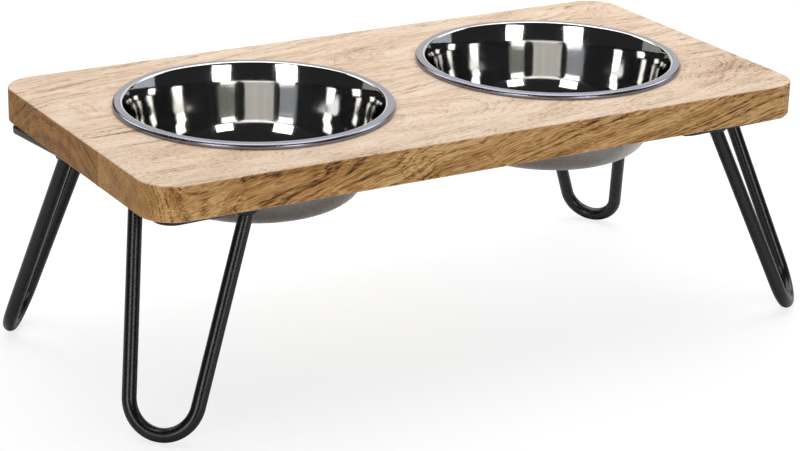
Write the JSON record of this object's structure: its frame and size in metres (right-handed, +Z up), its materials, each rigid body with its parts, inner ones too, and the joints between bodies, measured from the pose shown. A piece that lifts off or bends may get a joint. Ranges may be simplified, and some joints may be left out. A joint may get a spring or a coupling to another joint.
{
  "type": "raised cat feeding station",
  "caption": "Low wooden board on black hairpin legs, with round steel feeding bowls hung by their lips in holes in the board.",
  "frame": {"origin": "on the floor, straight below the middle of the board", "axes": "+X along the board's length to its right end as seen from the front, -Y to the front, +Z up"},
  "size_m": [0.4341, 0.2052, 0.1418],
  "materials": {
    "wood": "sanded mango wood, lightly oiled, satin",
    "bowl_steel": "stainless steel, mirror-polished inside and satin outside",
    "black_steel": "black powder coat, satin",
    "screw_steel": "black zinc plating, satin"
  },
  "bodies": {
    "stand": {"front_stave": "wood", "back_stave": "wood", "front_left_plate": "black_steel", "front_left_hairpin": "black_steel", "front_left_weld_side": "black_steel", "front_left_weld_end": "black_steel", "front_left_screw_corner": "screw_steel", "front_left_screw_x_tip": "screw_steel", "front_left_screw_y_tip": "screw_steel", "back_left_plate": "black_steel", "back_left_hairpin": "black_steel", "back_left_weld_side": "black_steel", "back_left_weld_end": "black_steel", "back_left_screw_corner": "screw_steel", "back_left_screw_x_tip": "screw_steel", "back_left_screw_y_tip": "screw_steel", "front_right_plate": "black_steel", "front_right_hairpin": "black_steel", "front_right_weld_side": "black_steel", "front_right_weld_end": "black_steel", "front_right_screw_corner": "screw_steel", "front_right_screw_x_tip": "screw_steel", "front_right_screw_y_tip": "screw_steel", "back_right_plate": "black_steel", "back_right_hairpin": "black_steel", "back_right_weld_side": "black_steel", "back_right_weld_end": "black_steel", "back_right_screw_corner": "screw_steel", "back_right_screw_x_tip": "screw_steel", "back_right_screw_y_tip": "screw_steel"},
    "left_bowl": {"left_bowl": "bowl_steel"},
    "right_bowl": {"right_bowl": "bowl_steel"}
  },
  "joints": [
    {"name": "left_bowl_lift", "type": "slide", "parent": "stand", "child": "left_bowl", "axis": [0, 0, 1], "range_m": [0, 0.08]},
    {"name": "right_bowl_lift", "type": "slide", "parent": "stand", "child": "right_bowl", "axis": [0, 0, 1], "range_m": [0, 0.08]}
  ]
}
